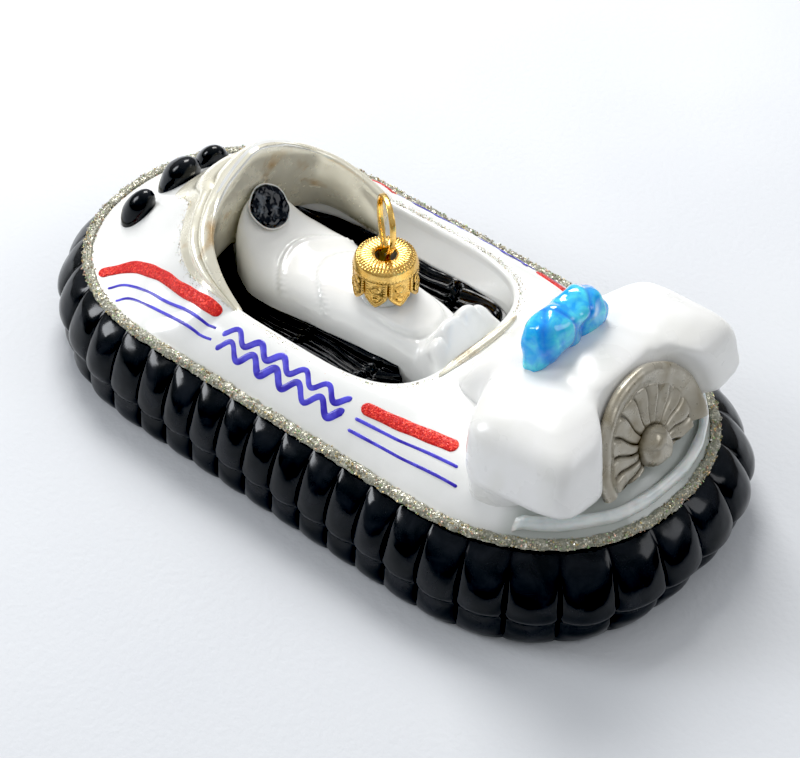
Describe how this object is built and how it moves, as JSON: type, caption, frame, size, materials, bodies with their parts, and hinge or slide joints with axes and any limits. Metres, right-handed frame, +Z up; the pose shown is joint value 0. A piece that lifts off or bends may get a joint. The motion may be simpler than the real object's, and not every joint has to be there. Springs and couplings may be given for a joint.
{
  "type": "glass hovercraft ornament",
  "caption": "Hand-painted blown-glass hanging ornament in the form of a small open hovercraft, with a lift-off gold cap and a turning wire hanger loop.",
  "frame": {"origin": "on the surface it stands on, under the middle of the skirt", "axes": "+X towards the bow, +Y to port, +Z up"},
  "size_m": [0.1292, 0.0682, 0.043],
  "materials": {
    "white_lacquer": "glossy pearly white lacquer on blown glass",
    "black_lacquer": "glossy black lacquer on blown glass",
    "silver_glass": "silvered glass, warm champagne tone",
    "blue_lacquer": "glossy translucent blue lacquer",
    "glitter": "glued glitter, green, gold and pink",
    "gold_metal": "bright gold-coloured stamped metal",
    "clear_glass": "bare glass, slightly milky"
  },
  "bodies": {
    "root": {"hull": "white_lacquer", "skirt": "black_lacquer", "underside": "black_lacquer", "cowl": "silver_glass", "bow_knob_port": "black_lacquer", "bow_knob_centre": "black_lacquer", "bow_knob_starboard": "black_lacquer", "console": "white_lacquer", "gauge": "black_lacquer", "footwell_port": "black_lacquer", "footwell_starboard": "black_lacquer", "rear_strip": "silver_glass", "stern_fairing": "white_lacquer", "arm_port": "white_lacquer", "arm_starboard": "white_lacquer", "light_bar": "blue_lacquer", "fan_ring": "silver_glass", "fan_blades": "silver_glass", "fan_hub": "silver_glass", "stern_rail": "clear_glass", "deck_bead": "glitter", "neck": "clear_glass"},
    "cap": {"cap": "gold_metal"},
    "loop": {"hanger_loop": "gold_metal"}
  },
  "joints": [
    {"name": "cap_lift", "type": "slide", "parent": "root", "child": "cap", "axis": [0, 0, 1], "range_m": [0, 0.012]},
    {"name": "loop_turn", "type": "hinge", "parent": "cap", "child": "loop", "pos_m": [0.001, 0, 0.032], "axis": [0, 0, 1], "continuous": true}
  ]
}
